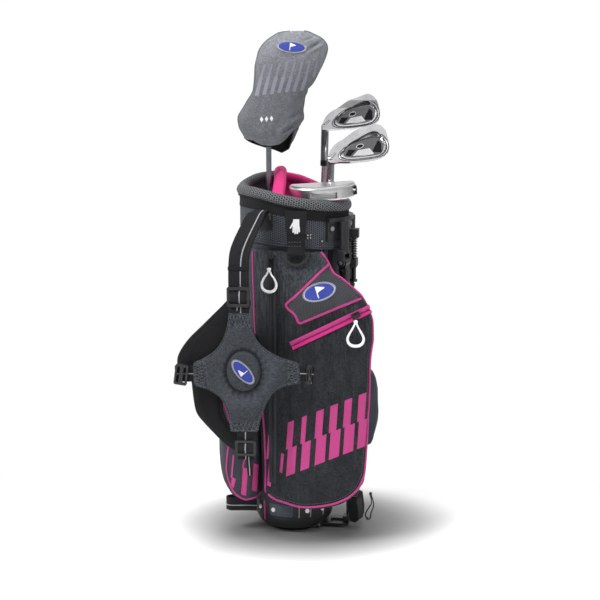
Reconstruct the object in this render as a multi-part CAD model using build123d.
from build123d import *
import os
import math

# Junior golf club set: a stand bag with four clubs (a driver under a headcover, two
# cavity-back irons and a mallet putter), two folding legs with their push-rod linkage,
# three pockets and a carry harness.
# Frame: origin at the centre of the sole on the ground, +Z up, +X roughly towards the
# leg side, -Y towards the apparel pocket. Millimetres and degrees; the legs are folded.

os.makedirs("parts", exist_ok=True)

# ---------------------------------------------------------------- shared dimensions
LEG_DIR = -8.0                       # plan direction of the leg side, from +X
BOOT_R, BOOT_TOP_R, BOOT_H = 62.0, 66.5, 54.0
FLOOR_Z = 27.0                       # top of the boot floor
BODY_R0, BODY_R1 = 67.4, 79.8        # fabric tube radius at BODY_Z0 and BODY_Z1
BODY_Z0, BODY_Z1, BODY_TOP = 50.0, 455.0, 500.0
BODY_T = 1.6                         # fabric thickness
COLLAR_RI, COLLAR_RO = 80.3, 83.6
RIM_Z, RIM_SX, RIM_SY = 534.0, -0.14, 0.06      # rim plane z = RIM_Z + SX*x + SY*y
RIM_R, RIM_PAD = 82.4, 8.0           # padding ring: centre line and section radius
HEM_Z, HEM_SX = 464.0, -0.10         # lower edge of the collar
PIVOT_R, PIVOT_A, PIVOT_Z = 97.0, 30.0, 438.0   # leg pivots, either side of LEG_DIR
LEG_R, LEG_WALL = 5.0, 1.1
FOOT_RAD, FOOT_TAN, FOOT_Z = 101.0, 12.5, 22.0  # folded foot
OPEN_RAD, OPEN_TAN = 285.0, 104.0               # deployed foot, in plan
PIN_R = 2.5
ROD_RAD, ROD_TAN, ROD_R = 87.0, 5.0, 1.6        # the two wires of the push rod
GUIDE_RAD, GUIDE_R = 94.5, 3.5
LEVER_RAD, LEVER_Z = 44.0, 6.5                  # lever hinge
LEVER_PIN_R, LEVER_BORE_R = 1.6, 1.66
SHAFT_R = 4.2
SHAFT_BORE_R = SHAFT_R + 0.05
OVERLAP = 0.01                       # overlap of stacked solids
REACH = 300                          # half length of through cuts

# ---------------------------------------------------------------- helpers
BOTTOM = (Align.CENTER, Align.CENTER, Align.MIN)
UP = (0, 0, 1)


def polar(radius, angle, z):
    turn = math.radians(angle)
    return Vector(radius * math.cos(turn), radius * math.sin(turn), z)


RADIAL = polar(1, LEG_DIR, 0)        # outwards on the leg side
TANGENT = Vector(-RADIAL.Y, RADIAL.X, 0)


def leg_point(rad, tan, z):
    """Point given by its distances along and across the leg direction."""
    return RADIAL * rad + TANGENT * tan + Vector(0, 0, z)


def leg_box(r0, r1, t0, t1, z0, z1):
    """Box between radial, tangential and height limits on the leg side."""
    box = Pos((r0 + r1) / 2, (t0 + t1) / 2, (z0 + z1) / 2) * Box(r1 - r0, t1 - t0, z1 - z0)
    return Rot(0, 0, LEG_DIR) * box


def rod(start, end, radius, end_radius=None):
    start, end = Vector(start), Vector(end)
    along = end - start
    if end_radius is None:
        solid = Cylinder(radius, along.length, align=BOTTOM)
    else:
        solid = Cone(radius, end_radius, along.length, align=BOTTOM)
    return Plane(origin=start, z_dir=along) * solid


def tube(start, end, outer_r, inner_r):
    start, end = Vector(start), Vector(end)
    unit = (end - start).normalized()
    return rod(start, end, outer_r) - rod(start - unit, end + unit, inner_r)


def cyl(radius, z0, z1, x=0, y=0):
    return Pos(x, y, z0) * Cylinder(radius, z1 - z0, align=BOTTOM)


def cone(r0, r1, z0, z1):
    return Pos(0, 0, z0) * Cone(r0, r1, z1 - z0, align=BOTTOM)


def radial_disc(angle, dist, z, radius, height, tilt=90):
    """Disc standing outwards from the bag at a plan angle."""
    disc = Rot(0, tilt, 0) * Cylinder(radius, height, align=BOTTOM)
    return Rot(0, 0, angle) * (Pos(dist, 0, z) * disc)


def poly_face(points):
    return make_face(Polyline(*points, close=True))


def smooth_face(points):
    return make_face(Spline(*points, periodic=True))


def prism(points, z0, z1):
    return Pos(0, 0, z0) * extrude(poly_face(points), z1 - z0, dir=UP)


def through(plane, points):
    """Outline drawn on a plane and extruded right through the bag."""
    return extrude(plane * poly_face(points), REACH, both=True)


def turned(points):
    """Solid of revolution from (radius, z) points."""
    return revolve(Plane.XZ * poly_face(points), Axis.Z, 360)


def sector(*angles):
    """Wedge from the bag axis through the given plan angles, z 400 to 600."""
    return prism([(0, 0)] + [tuple(polar(300, a, 0))[:2] for a in angles], 400, 600)


def tilted_plane(slope_x, slope_y, z):
    return Plane(origin=(0, 0, z), z_dir=Vector(-slope_x, -slope_y, 1).normalized())


def half_space(slope_x, slope_y, z, below=True):
    side = Align.MAX if below else Align.MIN
    block = Box(900, 900, 1200, align=(Align.CENTER, Align.CENTER, side))
    return tilted_plane(slope_x, slope_y, z) * block


def largest(shape):
    return max(shape.solids(), key=lambda solid: solid.volume)


def save(name, *shapes):
    solids = [solid for shape in shapes for solid in shape.solids()]
    export_step(Compound(children=solids), f"parts/{name}.step")


# ---------------------------------------------------------------- base
# (radius, z) outlines: outside of the boot, and the hollow under its floor
BOOT_PROFILE = [
    (0, 4), (42, 4), (50, 6.5), (56, 11), (BOOT_R - 1.5, 19), (BOOT_R + 1, 28),
    (BOOT_TOP_R, BOOT_H), (BOOT_TOP_R - 3, BOOT_H), (BOOT_R - 2.2, FLOOR_Z), (0, FLOOR_Z)]
HOLLOW_PROFILE = [
    (0, 7), (41, 7), (48.5, 9.5), (53.5, 13.5), (BOOT_R - 5, 20),
    (BOOT_R - 4, FLOOR_Z - 3), (0, FLOOR_Z - 3)]

boot = turned(BOOT_PROFILE)
boot -= turned(HOLLOW_PROFILE)


def bevel_block(length, width, height, side):
    """Block on (MIN) or under (MAX) the sloping bevel plane on the leg side."""
    block = Box(length, width, height, align=(Align.MIN, Align.CENTER, side))
    return Rot(0, 0, LEG_DIR) * (Pos(36, 0, 6) * (Rot(0, -30, 0) * block))


# bevel that the bag leans on, closed by a plate
boot -= bevel_block(90, 200, 60, Align.MAX)
boot += bevel_block(28, 86, 3, Align.MIN) & cyl(BOOT_R - 3, 4, FLOOR_Z)
for t0, t1 in ((-27, -22), (22, 27)):    # lever lugs
    boot += leg_box(LEVER_RAD - 4, LEVER_RAD + 4, t0, t1, LEVER_Z - 4, 13)
boot -= rod(leg_point(LEVER_RAD, -40, LEVER_Z), leg_point(LEVER_RAD, 40, LEVER_Z), LEVER_BORE_R)
boot = largest(boot)
save("base_boot", boot)

# sole pad, cut straight on the leg side, with grooves across it
GROOVE_PITCH = 11.0
sole = cone(40, 43.5, 0, 3.8) - leg_box(33.5, 80, -90, 90, -1, 6)
for k in (-4, -3, -2, -1, 1, 2, 3):
    sole -= Rot(0, 0, LEG_DIR) * (Pos(k * GROOVE_PITCH - 2, 0, 0) * Box(2.4, 130, 1.6))
save("base_sole_pad", largest(sole))

# lever: hinge barrel, plate, upright end and a rib
lever = tube(leg_point(LEVER_RAD, -21, LEVER_Z), leg_point(LEVER_RAD, 21, LEVER_Z),
             3.2, LEVER_BORE_R)
lever += leg_box(LEVER_RAD + 2.4, 90, -20, 20, 5, 8) + leg_box(80, 90, -8.5, 8.5, 7, 16)
lever += leg_box(60, 90, -2, 2, 7.5, 11)
save("base_lever", largest(lever))


# ---------------------------------------------------------------- fabric tube and stays
def body_solid(offset):
    """Outside of the fabric tube as a solid, grown by an offset."""
    return (cone(BODY_R0 + offset, BODY_R1 + offset, BODY_Z0, BODY_Z1)
            + cyl(BODY_R1 + offset, BODY_Z1 - OVERLAP, BODY_TOP))


shell = body_solid(0)
shell -= (cone(BODY_R0 - BODY_T, BODY_R1 - BODY_T, BODY_Z0 - OVERLAP, BODY_Z1)
          + cyl(BODY_R1 - BODY_T, BODY_Z1 - 2 * OVERLAP, BODY_TOP + 1))
shell -= cyl(BOOT_TOP_R + 0.15, 40, BOOT_H + 0.3)
save("body_shell", largest(shell))

save("frame_stays", *[rod(polar(57.0, angle, FLOOR_Z + 0.3), polar(74.6, angle, BODY_TOP), 2.4)
                      for angle in (178, 62, 226)])

# ---------------------------------------------------------------- collar and divider
# collar with a thicker hem band along its lower edge
collar = cyl(COLLAR_RO, 430, 600) - cyl(COLLAR_RI, 420, 610)
collar &= half_space(RIM_SX, RIM_SY, RIM_Z - RIM_PAD - 0.6)
collar -= half_space(HEM_SX, 0, HEM_Z)
hem = cyl(COLLAR_RO + 1.2, 430, 600) - cyl(COLLAR_RI, 420, 610)
collar += (hem & half_space(HEM_SX, 0, HEM_Z + 7)
           & half_space(HEM_SX, 0, HEM_Z, below=False))
save("cuff_collar", largest(collar))

rim_plane = tilted_plane(RIM_SX, RIM_SY, RIM_Z)
save("cuff_padding", largest(rim_plane * Torus(RIM_R, RIM_PAD)))

# padded bar across the mouth and the sheet under it
DIVIDER_X = -23
BAR_PATH = [(72, 542), (60, 556), (30, 553), (-20, 540), (-72, 522)]    # y, z
bar_path = Spline(*[(DIVIDER_X, y, z) for y, z in BAR_PATH])
bar = sweep(Plane(origin=bar_path @ 0, z_dir=bar_path % 0) * Circle(10.0), path=bar_path)
bar &= cyl(80.0, 400, 700)
bar -= rim_plane * Torus(RIM_R, RIM_PAD + 0.5)
save("divider_padding", largest(bar))

SHEET_OUTLINE = [(-55, 70), (55, 70), (60, 506), (-60, 506)]            # y, z
sheet = Pos(DIVIDER_X, 0, 0) * extrude(Plane.YZ * poly_face(SHEET_OUTLINE), 0.7, both=True)
save("divider_sheet", largest(sheet))

# ---------------------------------------------------------------- pockets
body_cut = body_solid(0.5)
body_cut += cone(BOOT_R + 2.0, BOOT_TOP_R + 1.4, 20, BODY_Z0 + OVERLAP)

# apparel pocket: plan corners (x, y); the two facets named here carry the zips
SIDE_A, SIDE_B = (-68.5, -54), (-26, -91)
FRONT_A, FRONT_B = (20, -105), (104, -107)
APPAREL_PLAN = [
    (-44, -30), (-70, -40), SIDE_A, SIDE_B, (-8, -100), FRONT_A, FRONT_B,
    (119, -101), (123, -91), (118, -84.4), (60, -76.3), (20, -40)]
APPAREL_FRONT = [    # x, z
    (-67, 460), (-50, 70), (-30, 64), (0, 58), (45, 56.5), (76, 62), (98, 78), (110, 100),
    (114, 150), (117, 220), (119, 290), (122, 318), (123, 340), (121.5, 356), (117, 370),
    (110, 384), (100, 396), (86, 409), (70, 421), (54, 440), (44, 458)]
# the upper panel leans back from (LEAN_Y0, LEAN_Z0) to (LEAN_Y1, LEAN_Z1)
LEAN_Y0, LEAN_Z0, LEAN_Y1, LEAN_Z1 = -108, 372, -86.5, 438
APPAREL_SIDE = [     # y, z
    (LEAN_Y0, 50), (LEAN_Y0, LEAN_Z0), (LEAN_Y1, LEAN_Z1), (-82, 463), (0, 463), (0, 50)]

apparel = prism(APPAREL_PLAN, 57, 462)
apparel &= through(Plane.XZ, APPAREL_FRONT)
apparel &= through(Plane.YZ, APPAREL_SIDE)
apparel -= body_cut
apparel -= cyl(COLLAR_RO + 1.9, 440, 600) & half_space(HEM_SX, 0, HEM_Z - 0.6, below=False)
save("apparel_pocket", largest(apparel))

BALL_PLAN = [        # x, y
    (-53, -44), (-56, -66), (-68, -82), (-90, -82), (-108, -66), (-116, -40), (-116, 4),
    (-104, 30), (-70, 34), (-40, 0)]
BALL_FRONT = [       # x, z
    (-60, 62), (-40, 62), (-40, 330), (-76, 330), (-98, 300), (-112, 250), (-117, 180),
    (-117, 130), (-110, 90), (-96, 70), (-80, 62)]
ball = prism(BALL_PLAN, 62, 330)
ball &= through(Plane.XZ, BALL_FRONT)
ball -= body_cut
ball -= apparel
for dx, dy in ((-1.6, 0), (-0.8, 1.0)):    # shifted copies leave a gap to the apparel pocket
    ball -= Pos(dx, dy, 0) * apparel
save("ball_pocket", largest(ball))

BOTTLE_PLAN = [      # x, y
    (40, 50), (64, 57.5), (124, 48.5), (135, 54), (140, 68), (138, 84), (124, 98), (84, 98),
    (40, 70)]
BOTTLE_FRONT = [     # x, z
    (30, 104), (110, 104), (130, 116), (141, 152), (141, 208), (132, 234), (112, 248),
    (30, 248)]
bottle = prism(BOTTLE_PLAN, 104, 248)
bottle &= through(Plane.XZ, BOTTLE_FRONT)
bottle -= body_cut
save("bottle_pocket", largest(bottle))

# ---------------------------------------------------------------- zips
TAPE_OFF, TEETH_OFF, SLIDER_OFF = 1.4, 2.5, 4.8    # centres, out from the pocket face
TEETH_W, SLIDER_W, SLIDER_T, SLIDER_LEN = 4.4, 8.5, 2.2, 13
PULL_HALF_T = 1.4


def facet_directions(start, end):
    """Horizontal unit vectors along a pocket facet and out of it."""
    along = (Vector(*end, 0) - Vector(*start, 0)).normalized()
    return along, Vector(along.Y, -along.X, 0)


def teardrop(top):
    """Teardrop loop in a plane whose y points up, hanging from y = top."""
    outline = [
        (0, top), (3.5, top - 1.2), (4.2, top - 8), (6.6, -22), (10.4, -33), (8.6, -43),
        (0, -48), (-8.6, -43), (-10.4, -33), (-6.6, -22), (-4.2, top - 8), (-3.5, top - 1.2)]
    hole = [(0, -17), (4.0, -24), (7.6, -33), (6.2, -41), (0, -45), (-6.2, -41),
            (-7.6, -33), (-4.0, -24)]
    return extrude(smooth_face(outline) - smooth_face(hole), PULL_HALF_T, both=True)


# upright zip on the facet that faces -X and -Y
side_along, side_out = facet_directions(SIDE_A, SIDE_B)
side_zip = Vector(*SIDE_B, 0) - side_along * 9.5
SIDE_SLIDER_Z = 434.0


def side_block(width, thick, z0, z1, off):
    origin = side_zip + side_out * off + Vector(0, 0, z0)
    plane = Plane(origin=origin, x_dir=side_along, z_dir=UP)
    return plane * Box(width, thick, z1 - z0, align=BOTTOM)


def slider_block(width, thick, dz0, dz1, off):
    return side_block(width, thick, SIDE_SLIDER_Z + dz0, SIDE_SLIDER_Z + dz1, off)


side_tape = side_block(16, 1.0, 92, 449, TAPE_OFF)
side_tape += side_block(TEETH_W, 1.6, 92, 449, TEETH_OFF)
save("apparel_zip_tape", largest(side_tape))

slider = slider_block(SLIDER_W, SLIDER_T, 0, SLIDER_LEN, SLIDER_OFF)
bail = slider_block(2.4, 3.6, 1.4, 3.8, 7.6)
bail += slider_block(2.4, 1.2, 1.4, 11.6, 9.2)
bail += slider_block(2.4, 3.6, 9.2, 11.6, 7.6)
save("apparel_zip_slider", largest(slider + bail))

# pull: a round bar through the bail, two cheeks and the loop
pull_pivot = side_zip + side_out * 7.25 + Vector(0, 0, SIDE_SLIDER_Z + SLIDER_LEN / 2)
pull_plane = Plane(origin=pull_pivot, x_dir=side_along, z_dir=side_out)
pull = rod(pull_pivot - side_along * 3.9, pull_pivot + side_along * 3.9, 0.95)
for sign in (-1, 1):
    pull += pull_plane * (Pos(sign * 3.0, -5.2, 0) * Box(1.8, 10.4, 1.9))
pull += pull_plane * teardrop(-9.6)
save("apparel_zip_pull", largest(pull))

# slanted zip on the flat front facet
front_along, front_out = facet_directions(FRONT_A, FRONT_B)
CARGO_A, CARGO_B = (-3.0, 318.0), (111.0, 373.0)    # ends of the zip, x and z
cargo_run, cargo_rise = CARGO_B[0] - CARGO_A[0], CARGO_B[1] - CARGO_A[1]
cargo_len = math.dist(CARGO_A, CARGO_B)
cargo_dir = (front_along * cargo_run + Vector(0, 0, cargo_rise)).normalized()
cargo_x = (CARGO_A[0] + CARGO_B[0]) / 2
cargo_frac = (cargo_x - FRONT_A[0]) / (FRONT_B[0] - FRONT_A[0])
cargo_mid = Vector(cargo_x, FRONT_A[1] + (FRONT_B[1] - FRONT_A[1]) * cargo_frac,
                   (CARGO_A[1] + CARGO_B[1]) / 2)
cargo_slider = cargo_len / 2 - 20    # slider position along the zip from its middle


def cargo_block(along, width, thick, length, off):
    origin = cargo_mid + cargo_dir * along + front_out * off
    return Plane(origin=origin, x_dir=cargo_dir, z_dir=front_out) * Box(length, width, thick)


cargo_tape = (cargo_block(0, 15, 1.0, cargo_len, TAPE_OFF)
              + cargo_block(0, TEETH_W, 1.5, cargo_len, TEETH_OFF))
save("cargo_zip_tape", largest(cargo_tape))

slider = cargo_block(cargo_slider, SLIDER_W, SLIDER_T, SLIDER_LEN, SLIDER_OFF)
slider += (cargo_block(cargo_slider - 5, 2.2, 4.6, 2.0, 8.0)
           + cargo_block(cargo_slider + 5, 2.2, 4.6, 2.0, 8.0))
pull_pivot = cargo_mid + cargo_dir * cargo_slider + front_out * 9.4
slider += rod(pull_pivot - cargo_dir * 5.2, pull_pivot + cargo_dir * 5.2, 0.8)
save("cargo_zip_slider", largest(slider))

# pull: an eye round the slider's bar, a neck and the loop
EYE_R = 2.2
eye_plane = Plane(origin=pull_pivot, z_dir=cargo_dir)
pull_plane = Plane(origin=pull_pivot, x_dir=front_along, z_dir=front_out)
pull = eye_plane * Torus(EYE_R, 0.75)
pull += pull_plane * (Pos(0, -6.4, 0) * Box(3.4, 8.4, 1.7)) - eye_plane * Cylinder(EYE_R, 12)
pull += pull_plane * teardrop(-8.4)
save("cargo_zip_pull", largest(pull))

# oval badge on the leaning upper panel
BADGE_X, BADGE_Z = 38, 397
lean_y, lean_z = LEAN_Y1 - LEAN_Y0, LEAN_Z1 - LEAN_Z0
badge_out = Vector(0, -lean_z, lean_y).normalized()
badge_origin = Vector(BADGE_X, LEAN_Y0 + lean_y * (BADGE_Z - LEAN_Z0) / lean_z, BADGE_Z)
badge_plane = Plane(origin=badge_origin + badge_out * 0.5, x_dir=(1, 0, 0), z_dir=badge_out)
save("pocket_badge", badge_plane * (Rot(0, 0, 17) * extrude(Ellipse(26.5, 14.5), 1.2)))

# ---------------------------------------------------------------- front tab and towel ring
RING_X, RING_Y, RING_Z = 3, -92.4, 455.6     # middle of the ring's straight bar
RING_BAR_R, TAB_BORE_R = 2.1, 2.75


def ring_axis(half):
    """Ends of a line along X through the ring bar."""
    return (RING_X - half, RING_Y, RING_Z), (RING_X + half, RING_Y, RING_Z)


tab = (Pos(RING_X, -88.4, 487) * Box(26, 2.2, 56)) - cyl(COLLAR_RO + 1.4, 400, 600)
tab -= rod(*ring_axis(23), 4.3)
tab += tube(*ring_axis(12), 4.6, TAB_BORE_R)
tab += Pos(RING_X, -90.0, 460.4) * Box(24, 4.2, 3.4) - rod(*ring_axis(23), TAB_BORE_R)
save("glove_tab", largest(tab))

# D ring: half a hoop below a round bar
ring_plane = Plane(origin=(RING_X, RING_Y, RING_Z), x_dir=(1, 0, 0), z_dir=(0, -1, 0))
outer = (Circle(20) & Pos(0, -15) * Rectangle(60, 30)) + Pos(0, 1.0) * Rectangle(40, 2.2)
inner = Circle(15.6) & Pos(0, -17) * Rectangle(60, 30)
ring_bar = rod(*ring_axis(19), RING_BAR_R)
ring = ring_plane * extrude(outer - inner, 2.0, both=True)
ring += ring_bar
# clear the hoop away round the tab, then put the bar back
tab_room = Pos(0, 4.2) * Rectangle(25.4, 10) + Pos(0, 0) * Rectangle(25.4, 8.4)
ring -= ring_plane * extrude(tab_room, 3, both=True)
ring += ring_bar
save("towel_ring", largest(ring))


# ---------------------------------------------------------------- stand: leg geometry
def leg_geometry(sign):
    """Pivot, folded direction, hinge axis and length of the leg on one side."""
    pivot = polar(PIVOT_R, LEG_DIR + sign * PIVOT_A, PIVOT_Z)
    leg = leg_point(FOOT_RAD, sign * FOOT_TAN, FOOT_Z) - pivot
    length = leg.length
    folded = leg.normalized()
    open_foot = leg_point(OPEN_RAD, sign * OPEN_TAN, 0)
    flat = Vector(open_foot.X - pivot.X, open_foot.Y - pivot.Y, 0)
    deployed = Vector(flat.X, flat.Y, -math.sqrt(length ** 2 - flat.length ** 2)).normalized()
    return pivot, folded, folded.cross(deployed).normalized(), length


# near is the -Y side, far the +Y side
LEGS = {"near": leg_geometry(-1), "far": leg_geometry(1)}

# ---------------------------------------------------------------- stand bracket
# curved plate hugging the collar with a lip, and a column with two ears at each pivot
PLATE_HALF_A = 47.0
PLATE_RI = COLLAR_RO + 1.6
EAR_T, EAR_IN = 3.2, 7.0             # ear thickness; its inner face from the leg's middle
EAR_W = 12.4
plate_sector = sector(LEG_DIR - PLATE_HALF_A, LEG_DIR, LEG_DIR + PLATE_HALF_A)
bracket = cyl(COLLAR_RO + 5.4, 470, 506) - cyl(PLATE_RI, 460, 520)
bracket &= plate_sector
bracket += (cyl(COLLAR_RO + 9.5, 500, 506) - cyl(PLATE_RI, 460, 520)) & plate_sector

for side, sign in (("near", -1), ("far", 1)):
    pivot, _, hinge, _ = LEGS[side]
    column = cyl(7.4, PIVOT_Z + 14, 500, pivot.X, pivot.Y)
    web_r, web_z = COLLAR_RO + 2, PIVOT_Z + 34
    web = Pos((web_r + PIVOT_R) / 2, 0, (web_z + 500) / 2) * Box(PIVOT_R - web_r, 10, 500 - web_z)
    bracket += column + Rot(0, 0, LEG_DIR + sign * PIVOT_A) * web
    ear_plane = Plane(origin=pivot, x_dir=UP, z_dir=hinge)
    ear_face = Circle(EAR_W / 2) + Pos(10, 0) * Rectangle(20, EAR_W)
    for ear_side in (-1, 1):
        ear = extrude(ear_face, EAR_T / 2, both=True)
        bracket += ear_plane * (Pos(0, 0, ear_side * (EAR_IN + EAR_T / 2)) * ear)
    bracket += ear_plane * (Pos(16.0, 0, 0) * Box(5.0, EAR_W, 2 * (EAR_IN + EAR_T)))
    bracket -= ear_plane * Cylinder(PIN_R + 0.05, 60)
    bracket -= ear_plane * Cylinder(9.6, 13.6)    # room for the hub to swing

# seat of the guide post
bracket += leg_box(COLLAR_RO + 3, GUIDE_RAD + 7.5, -9, 9, 470, 484)
bracket -= rod(leg_point(GUIDE_RAD, 0, 460), leg_point(GUIDE_RAD, 0, 480), GUIDE_R + 0.04)
save("stand_bracket", largest(bracket))

# ---------------------------------------------------------------- hinge pins
pins = []
for pivot, _, hinge, _ in LEGS.values():
    pin = rod(pivot - hinge * 11.4, pivot + hinge * 11.4, PIN_R)
    pin += rod(pivot - hinge * 13.4, pivot - hinge * 11.2, 4.2)
    pins.append(largest(pin))
pins.append(rod(leg_point(LEVER_RAD, -27, LEVER_Z), leg_point(LEVER_RAD, 27, LEVER_Z),
                LEVER_PIN_R))
save("hinge_pins", *pins)

# ---------------------------------------------------------------- legs
LEG_BORE_R = LEG_R + 0.04
# foot outline: x outwards, y up the leg from its end; the slanted toe lies flat on the
# ground when the leg is out
FOOT_OUTLINE = [(-8, 30), (8, 30), (10.5, 8), (9.5, -6), (3, -11), (-5.5, -10), (-8, -2)]


def make_leg(side):
    pivot, along, hinge, length = LEGS[side]
    hub_plane = Plane(origin=pivot, x_dir=along, z_dir=hinge)
    hub = (hub_plane * Cylinder(7.4, 12.6) + hub_plane * (Pos(9, 0, 0) * Box(18, 12.4, 12.4))
           + rod(pivot + along * 12, pivot + along * 46, 7.2))
    hub -= hub_plane * Cylinder(PIN_R + 0.06, 40)
    hub -= rod(pivot + along * 17.9, pivot + along * 60, LEG_BORE_R)
    save(f"{side}_leg_hub", largest(hub))

    leg = tube(pivot + along * 18.2, pivot + along * (length - 3.8), LEG_R, LEG_R - LEG_WALL)
    save(f"{side}_leg_tube", largest(leg))

    outwards = hinge.cross(along).normalized()
    foot_plane = Plane(origin=pivot + along * length, x_dir=outwards, z_dir=hinge)
    foot = foot_plane * extrude(poly_face(FOOT_OUTLINE), 7.6, both=True)
    foot -= rod(pivot + along * (length - 3.4), pivot + along * (length - 40), LEG_BORE_R)
    save(f"{side}_leg_foot", largest(foot))


for side in LEGS:
    make_leg(side)

# ---------------------------------------------------------------- push rod, crosshead, guide
WIRE_Z0, WIRE_Z1 = 18.6, 430


def wire_at(tan, z0, z1, radius):
    return rod(leg_point(ROD_RAD, tan, z0), leg_point(ROD_RAD, tan, z1), radius)


def guide_at(z0, z1, radius):
    return rod(leg_point(GUIDE_RAD, 0, z0), leg_point(GUIDE_RAD, 0, z1), radius)


# U-shaped wire: two uprights and the bar across their lower ends
wire = wire_at(-ROD_TAN, WIRE_Z0, WIRE_Z1, ROD_R) + wire_at(ROD_TAN, WIRE_Z0, WIRE_Z1, ROD_R)
wire += rod(leg_point(ROD_RAD, -ROD_TAN - ROD_R, WIRE_Z0),
            leg_point(ROD_RAD, ROD_TAN + ROD_R, WIRE_Z0), ROD_R)
save("push_rod", largest(wire))

crosshead = leg_box(84.0, 99.5, -17, 17, 424, 436)
for sign in (-1, 1):
    crosshead -= wire_at(sign * ROD_TAN, 400, WIRE_Z1 + 0.2, ROD_R + 0.03)
crosshead -= guide_at(400, 480, GUIDE_R + 0.06)
save("crosshead", largest(crosshead))

save("guide_post", largest(guide_at(403, 480, GUIDE_R) + guide_at(400, 404, 5.6)))

coil = Helix(pitch=4.0, height=31.0, radius=4.9)
coil_section = Plane(origin=coil @ 0, z_dir=coil % 0) * Circle(0.55)
spring = sweep(coil_section, path=coil, is_frenet=True)
save("return_spring", largest(Pos(*tuple(leg_point(GUIDE_RAD, 0, 437.4))) * spring))

# ---------------------------------------------------------------- rivets
rivets = []
for angle in (-42, -16, 16, 42):     # on the bracket plate, with a dimple
    head = radial_disc(LEG_DIR + angle, COLLAR_RO + 5.6, 490, 3.6, 2.0)
    rivets.append(head - radial_disc(LEG_DIR + angle, COLLAR_RO + 6.9, 490, 1.5, 2.0))
for angle in range(-168, 180, 24):   # round the boot, none near the leg side or at -96
    if abs(angle - LEG_DIR) < 28 or angle == -96:
        continue
    head = radial_disc(angle, 65.6, 40, 3.6, 1.6, tilt=90 - 8)
    head -= boot
    rivets.append(largest(head))
save("rivets", *rivets)

# ---------------------------------------------------------------- leg cord, lower webbing
# elastic cord that holds the folded legs, hanging from the pocket corner
CORD_POINTS = [
    (118, -80, 74), (121, -76, 56), (115, -66, 44), (112.5, -61, 33), (118, -64, 26),
    (120, -70, 36), (125, -80, 56), (121, -83, 72)]
cord_path = Spline(*CORD_POINTS)
cord = sweep(Plane(origin=cord_path @ 0, z_dir=cord_path % 0) * Circle(0.9), path=cord_path)
cord += Pos(119.5, -81.5, 74.5) * Sphere(2.2)
save("leg_cord", largest(cord))

# webbing loop at the foot of the ball pocket: outer and inner plan (x, y)
LOOP_OUTER = [(-58, -46), (-100, -47), (-109, -40), (-109, -32), (-100, -27), (-60, -29)]
LOOP_INNER = [(-50, -43), (-99, -44), (-106, -39), (-106, -33), (-99, -30), (-50, -32)]
loop_cut = (cone(BOOT_R + 1.6, BOOT_TOP_R + 1.2, 14, BODY_Z0 + OVERLAP)
            + cyl(BODY_R0 + 1.0, BODY_Z0, 90))
save("lower_webbing", prism(LOOP_OUTER, 34, 57) - prism(LOOP_INNER, 30, 60) - loop_cut)

# ---------------------------------------------------------------- carry harness
# drawn on an upright plane in front of the bag; depth grows away from the bag
harness_x = Vector(0.995, -0.1, 0).normalized()
harness_plane = Plane(origin=Vector(-72, -130, 280), x_dir=harness_x,
                      z_dir=harness_x.cross(Vector(0, 0, 1)).normalized())
YOKE_OUTLINE = [
    (-25.6, 91.4), (4.8, 90.8), (9.3, 70.8), (14, 56), (24, 42), (38.5, 31.8), (53, 24.4),
    (66, 20.7), (79, 17), (82.3, 0), (81.4, -15), (67.7, -17), (53, -21.9), (42, -29.3),
    (33, -42.2), (26.8, -57), (22, -72), (18, -91), (-24, -92), (-27.2, -70.3), (-31.6, -52),
    (-40.6, -39), (-56, -28.7), (-69.2, -24.4), (-79, -22), (-80.5, -4), (-80, 14.2),
    (-65.3, 20.8), (-48.9, 31.8), (-38, 44.8), (-30.7, 61.4), (-27, 78)]
LEFT_STRAP_OUTLINE = [
    (-18, 112), (-40, 92), (-64, 68), (-86, 46), (-100, 26), (-104, 12), (-100, -2),
    (-88, -8), (-72, -2), (-58, 12), (-30, 44), (-4, 84), (2, 108)]
LOWER_STRAP_OUTLINE = [
    (-86, 4), (-84, -24), (-81, -53), (-77, -70), (-67, -83), (-53, -98), (-37, -114),
    (-19, -126), (-8, -120), (-12, -106), (-22, -99), (-32, -89), (-41.6, -68), (-43, -38),
    (-44, 0), (-58, 14)]
WEB_W, WEB_T = 29, 1.8


def harness_slab(points, depth0, depth1):
    return harness_plane * (Pos(0, 0, depth0)
                            * extrude(poly_face(points), depth1 - depth0, dir=UP))


def strip(start, end, width_dir):
    """Flat webbing between two points, its width laid close to width_dir."""
    along = end - start
    unit = along.normalized()
    across = (width_dir - unit * width_dir.dot(unit)).normalized()
    plane = Plane(origin=(start + end) * 0.5, x_dir=across, z_dir=unit.cross(across).normalized())
    return plane * Box(WEB_W, along.length, WEB_T)


def buckle(x, y, width, height, turn):
    """Rounded plate with two slots."""
    frame = (RectangleRounded(width, height, 3)
             - Pos(0, height * 0.24) * Rectangle(width - 8, height * 0.2)
             - Pos(0, -height * 0.24) * Rectangle(width - 8, height * 0.2))
    return harness_plane * (Pos(x, y, 2.2) * (Rot(0, 0, turn) * extrude(frame, 4.0, dir=UP)))


save("yoke_pad", harness_slab(YOKE_OUTLINE, -6, 7))
yoke_badge = Rot(0, 0, -48) * extrude(Ellipse(23, 10.5), 1.2)
save("yoke_badge", harness_plane * (Pos(-3, 3.5, 7.4) * yoke_badge))
save("left_shoulder_strap", harness_slab(LEFT_STRAP_OUTLINE, -17, -9))
save("lower_shoulder_strap", harness_slab(LOWER_STRAP_OUTLINE, -28, -20))
save("strap_buckles",
     buckle(-10.5, 116, 34, 30, 0), buckle(-1, -116, 32, 24, 0),
     buckle(-98, -4, 32, 20, 82), buckle(95.5, 0, 30, 8, 86))

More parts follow.
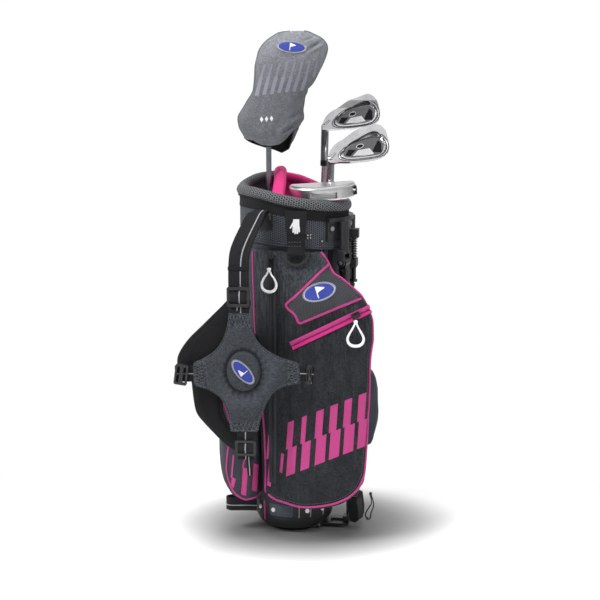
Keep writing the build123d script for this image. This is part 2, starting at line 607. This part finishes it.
# webbing from the anchor down to the top buckle, and at the other three yoke arms
upper_web = (strip(Vector(-57, -95.5, 516), Vector(-82, -117, 462), Vector(0.9, -0.35, 0.25))
             + strip(Vector(-81.4, -116.4, 466), Vector(-82.0, -129.2, 373.5), harness_x))
right_web = harness_slab([(84.5, 12), (101, 11), (101, -11), (84.5, -13)], -1, 1)
lower_web = (harness_slab([(-14, -93.6), (12, -93.6), (12, -134), (-12, -134)], -1, 1)
             + harness_slab([(-2, -133), (8, -134.2), (9, -160), (1, -160)], -1, 1))
left_web = harness_slab([(-82.6, 10), (-108, 8), (-108, -16), (-82.6, -18)], -1, 1)
JOIN_TABS = [        # x0, x1, y0, y1, depth0, depth1: tabs that join the straps and the pad
    (-66, -50, 12, 0, -19.8, -17.2),
    (-16, -2, -108, -118, -19.8, -1.2),
    (-100, -90, 2, -6, -8.8, -1.2),
    (-12, -2, 108, 100, -8.8, -3.0)]
join_tabs = [harness_slab([(x0, y0), (x1, y0), (x1, y1), (x0, y1)], depth0, depth1)
             for x0, x1, y0, y1, depth0, depth1 in JOIN_TABS]
save("harness_webbing", largest(upper_web), right_web, largest(lower_web), left_web, *join_tabs)

# strap anchor: a plate on the collar with an open D that the webbing hangs from
ANCHOR_X, ANCHOR_Y = -52, -84        # sets the plan direction only
ANCHOR_BAR_R, ANCHOR_BAR_Z, ANCHOR_WIRE_R = 93.5, 517.0, 1.8
anchor_out = Vector(ANCHOR_X, ANCHOR_Y, 0).normalized()
anchor_tan = Vector(-anchor_out.Y, anchor_out.X, 0)
anchor_angle = math.degrees(math.atan2(ANCHOR_Y, ANCHOR_X))
anchor = cyl(COLLAR_RO + 3.2, 488, 512) - cyl(COLLAR_RO + 1.5, 480, 530)
anchor &= sector(anchor_angle - 9, anchor_angle + 9)
bar_mid = anchor_out * ANCHOR_BAR_R + Vector(0, 0, ANCHOR_BAR_Z)
arm_foot = anchor_out * (COLLAR_RO + 2.6) + Vector(0, 0, 506)
anchor += rod(bar_mid - anchor_tan * 16, bar_mid + anchor_tan * 16, ANCHOR_WIRE_R)
for sign in (-1, 1):
    anchor += rod(bar_mid + anchor_tan * (sign * 15.0), arm_foot + anchor_tan * (sign * 12.0),
                  ANCHOR_WIRE_R)
save("strap_anchor", largest(anchor))

# ---------------------------------------------------------------- clubs
GRIP_Z = FLOOR_Z + 0.5               # butt of every grip
SHAFT_START = 3.6                    # lower end of the shaft inside the grip


def club_line(x, y, top):
    """Butt point, unit direction and point-at-height function of a club's axis."""
    butt = Vector(x, y, GRIP_Z)
    along = (Vector(*top) - butt).normalized()

    def at(z):
        return butt + along * ((z - butt.Z) / along.Z)

    return butt, along, at


def make_grip(name, butt, along, length, butt_r, top_r):
    grip = (rod(butt, butt + along * length, butt_r, top_r)
            - rod(butt + along * 3.2, butt + along * (length + 5), SHAFT_BORE_R))
    save(name, largest(grip))


# ---------------------------------------------------------------- driver and headcover
DRIVER_Y = 12
HEAD_CENTRE = (-12, 12.4, 741)
butt, along, _ = club_line(-39, DRIVER_Y, (-40, DRIVER_Y, 700))
make_grip("driver_grip", butt, along, 205, 11.5, 8.4)
save("driver_shaft", rod(butt + along * SHAFT_START, butt + along * 686, SHAFT_R))
save("driver_ferrule",
     largest(tube(butt + along * 662, butt + along * 680, 6.0, SHAFT_BORE_R)))

driver = scale(Sphere(20), by=(35.0 / 20, 25.0 / 20, 18.5 / 20))
driver = Pos(*HEAD_CENTRE) * (Rot(0, -12, 0) * driver)
driver += rod(butt + along * 680.3, butt + along * 703, 6.6)
driver -= rod(butt + along * 670, butt + along * 686.5, SHAFT_BORE_R)
save("driver_head", largest(driver))

COVER_STATIONS = [   # centre x, z, half-length in x, half-width in y
    (-33, 610, 44, 29), (-36.7, 636, 48.8, 30.5), (-36.0, 654, 49.4, 31),
    (-32.5, 668, 46.5, 31), (-26.5, 684, 43.5, 30.5), (-22.2, 695, 42.2, 30),
    (-15, 713, 47, 30), (-10.5, 727, 50, 30.5), (-6.5, 740, 51.5, 31),
    (-3, 752, 51.5, 31), (0, 763, 50, 30), (1, 771, 46, 27.5),
    (1, 779, 34, 21), (4, 785, 15, 10)]
DOME_PROFILE = [     # radius, z: top of the inside, over the club head
    (0, -12), (36.4, -12), (36.4, 0), (35.2, 7), (30.5, 13.2), (21, 18.2), (10, 20.2),
    (0, 20.4)]
cover = loft([Pos(x, DRIVER_Y, z) * Ellipse(half_x, half_y)
              for x, z, half_x, half_y in COVER_STATIONS], ruled=True)
cover_axis = Vector(0.22, 0, 0.9755).normalized()    # tilt of the straight cavity
cavity_plane = Plane(origin=Vector(*HEAD_CENTRE) - cover_axis * 150,
                     x_dir=(cover_axis.Z, 0, -cover_axis.X), z_dir=cover_axis)
cavity = cavity_plane * extrude(Ellipse(37.0, 27.4), 157, dir=UP)
dome = Pos(*HEAD_CENTRE) * (Rot(0, -12, 0) * (turned(DOME_PROFILE) & Box(100, 53, 60)))
save("driver_headcover", largest(cover - cavity - dome))


# ---------------------------------------------------------------- irons
def make_iron(tag, x, y, top, z_sole, z_lead, blade, loft_deg, ferrule_z, grip_len):
    """Iron with a blade tilted back by its loft, a swept hosel and a cavity in the back."""
    butt, along, at = club_line(x, y, top)
    make_grip(f"{tag}_grip", butt, along, grip_len, 11.0, 8.2)
    save(f"{tag}_shaft", rod(butt + along * SHAFT_START, at(ferrule_z + 9), SHAFT_R))
    save(f"{tag}_ferrule", largest(tube(at(ferrule_z - 9), at(ferrule_z), 6.2, SHAFT_BORE_R)))

    # head frame: x along the blade, y up the blade towards the sole, z out of the back
    lead = at(z_lead)
    tilt = math.radians(loft_deg)
    blade_up = Vector(0, math.sin(tilt), math.cos(tilt))
    blade_back = Vector(0, -math.cos(tilt), math.sin(tilt))
    origin = Vector(lead.X, lead.Y - 3.0, lead.Z)
    plane = Plane(origin=origin, x_dir=(1, 0, 0), z_dir=blade_back)
    height = (z_sole - z_lead) / math.cos(tilt) * 0.90

    # (x, y / height) by the hosel, then (x / blade, y / height) round the toe
    heel = [(-4.5, 0.02), (-3.2, 0.18), (1.5, 0.36), (9, 0.50), (22, 0.64), (38, 0.80),
            (56, 0.93), (70, 1.0)]
    toe = [(0.85, 0.97), (0.93, 0.84), (0.985, 0.64), (1.0, 0.42), (0.965, 0.26),
           (0.86, 0.13), (0.70, 0.05), (0.5, 0.01), (0.30, -0.02)]
    heel_end = [(10, -0.03), (4, -0.05)]
    outline = [(px, fy * height) for px, fy in heel]
    outline += [(fx * blade, fy * height) for fx, fy in toe]
    outline += [(px, fy * height) for px, fy in heel_end]
    head = plane * extrude(smooth_face(outline), 16, dir=UP)

    # thickness (up the blade, out of the back): thin at the topline, 15 at the sole
    section = [(-20, 0), (height + 20, 0), (height + 20, 15), (height * 0.80, 14.5),
               (height * 0.62, 7.5), (0, 5.0), (-20, 5.0)]
    section_plane = Plane(origin=origin - Vector(30, 0, 0), x_dir=blade_up, z_dir=(1, 0, 0))
    head = head & (section_plane * extrude(poly_face(section), 200, dir=UP))

    # cavity outline, x / blade and y / height
    cavity = [(0.20, 0.24), (0.34, 0.52), (0.56, 0.70), (0.80, 0.78), (0.90, 0.62),
              (0.91, 0.40), (0.80, 0.22), (0.50, 0.13), (0.28, 0.12)]
    cavity_face = smooth_face([(fx * blade, fy * height) for fx, fy in cavity])
    head -= plane * (Pos(0, 0, 3.2) * extrude(cavity_face, 30, dir=UP))

    # hosel down the shaft line, a ball at its bend and a taper into the blade
    bend = at(z_lead + 6)
    hosel = rod(at(ferrule_z + 0.3), bend, 6.0) + (Pos(bend.X, bend.Y, bend.Z) * Sphere(6.0))
    tip = origin + Vector(8, 0, 0) + blade_up * (0.26 * height) + blade_back * 3.0
    hosel += rod(bend, tip, 6.0, 3.4)
    head = head + hosel
    head -= rod(at(ferrule_z - 5), at(ferrule_z + 9.4), SHAFT_BORE_R)
    save(f"{tag}_head", largest(head))


make_iron("iron_a", x=34, y=30, top=(48, 48, 600), z_sole=688, z_lead=634, blade=87,
          loft_deg=30, ferrule_z=586, grip_len=190)
make_iron("iron_b", x=42, y=1, top=(57.6, 17, 600), z_sole=640, z_lead=584, blade=92,
          loft_deg=38, ferrule_z=549, grip_len=185)


# ---------------------------------------------------------------- putter
def fillet_largest(shape, edges, radii):
    """Fillet with the first radius in the list that works."""
    for radius in radii:
        try:
            return fillet(edges, radius)
        except ValueError:    # the kernel can't build this radius; try the next one
            continue
    return shape


PUTTER_OUTLINE = [
    (-13, 0), (-10, 6.5), (0, 8), (38, 8.5), (76, 8), (87, 6), (89.5, -2), (86, -15),
    (76, -28), (60, -37.5), (38, -41.5), (16, -37.5), (0, -28), (-10, -15)]
butt, along, at = club_line(22, -33, (28, -37, 540))
make_grip("putter_grip", butt, along, 180, 11.5, 9.0)
save("putter_shaft", rod(butt + along * SHAFT_START, at(522), SHAFT_R))

putter = extrude(smooth_face(PUTTER_OUTLINE), 22, dir=UP)
putter = fillet_largest(putter, putter.edges().group_by(Axis.Z)[-1],
                        (8.0, 7.0, 6.0, 5.0, 4.0, 3.0))
putter = fillet_largest(putter, putter.edges().group_by(Axis.Z)[0], (3.0, 2.0, 1.0))
putter_plane = Plane(origin=(6, -22, 532), x_dir=Vector(1, 0, 0.06).normalized(),
                     z_dir=Vector(-0.06, -0.10, 1).normalized())
putter = putter_plane * putter
putter -= putter_plane * (Pos(38, -36, 4) * extrude(RectangleRounded(44, 24, 6), 9))
# notch in the +X end, filled by a slightly smaller block
putter -= putter_plane * (Pos(88, -8, 3) * Box(12, 15, 13, align=BOTTOM))
putter += putter_plane * (Pos(86.5, -8, 3.6) * Box(8, 13.6, 11.8, align=BOTTOM))
putter += rod(at(514), at(540), 6.2)    # hosel
putter -= rod(at(498), at(522.4), SHAFT_BORE_R)
save("putter_head", largest(putter))
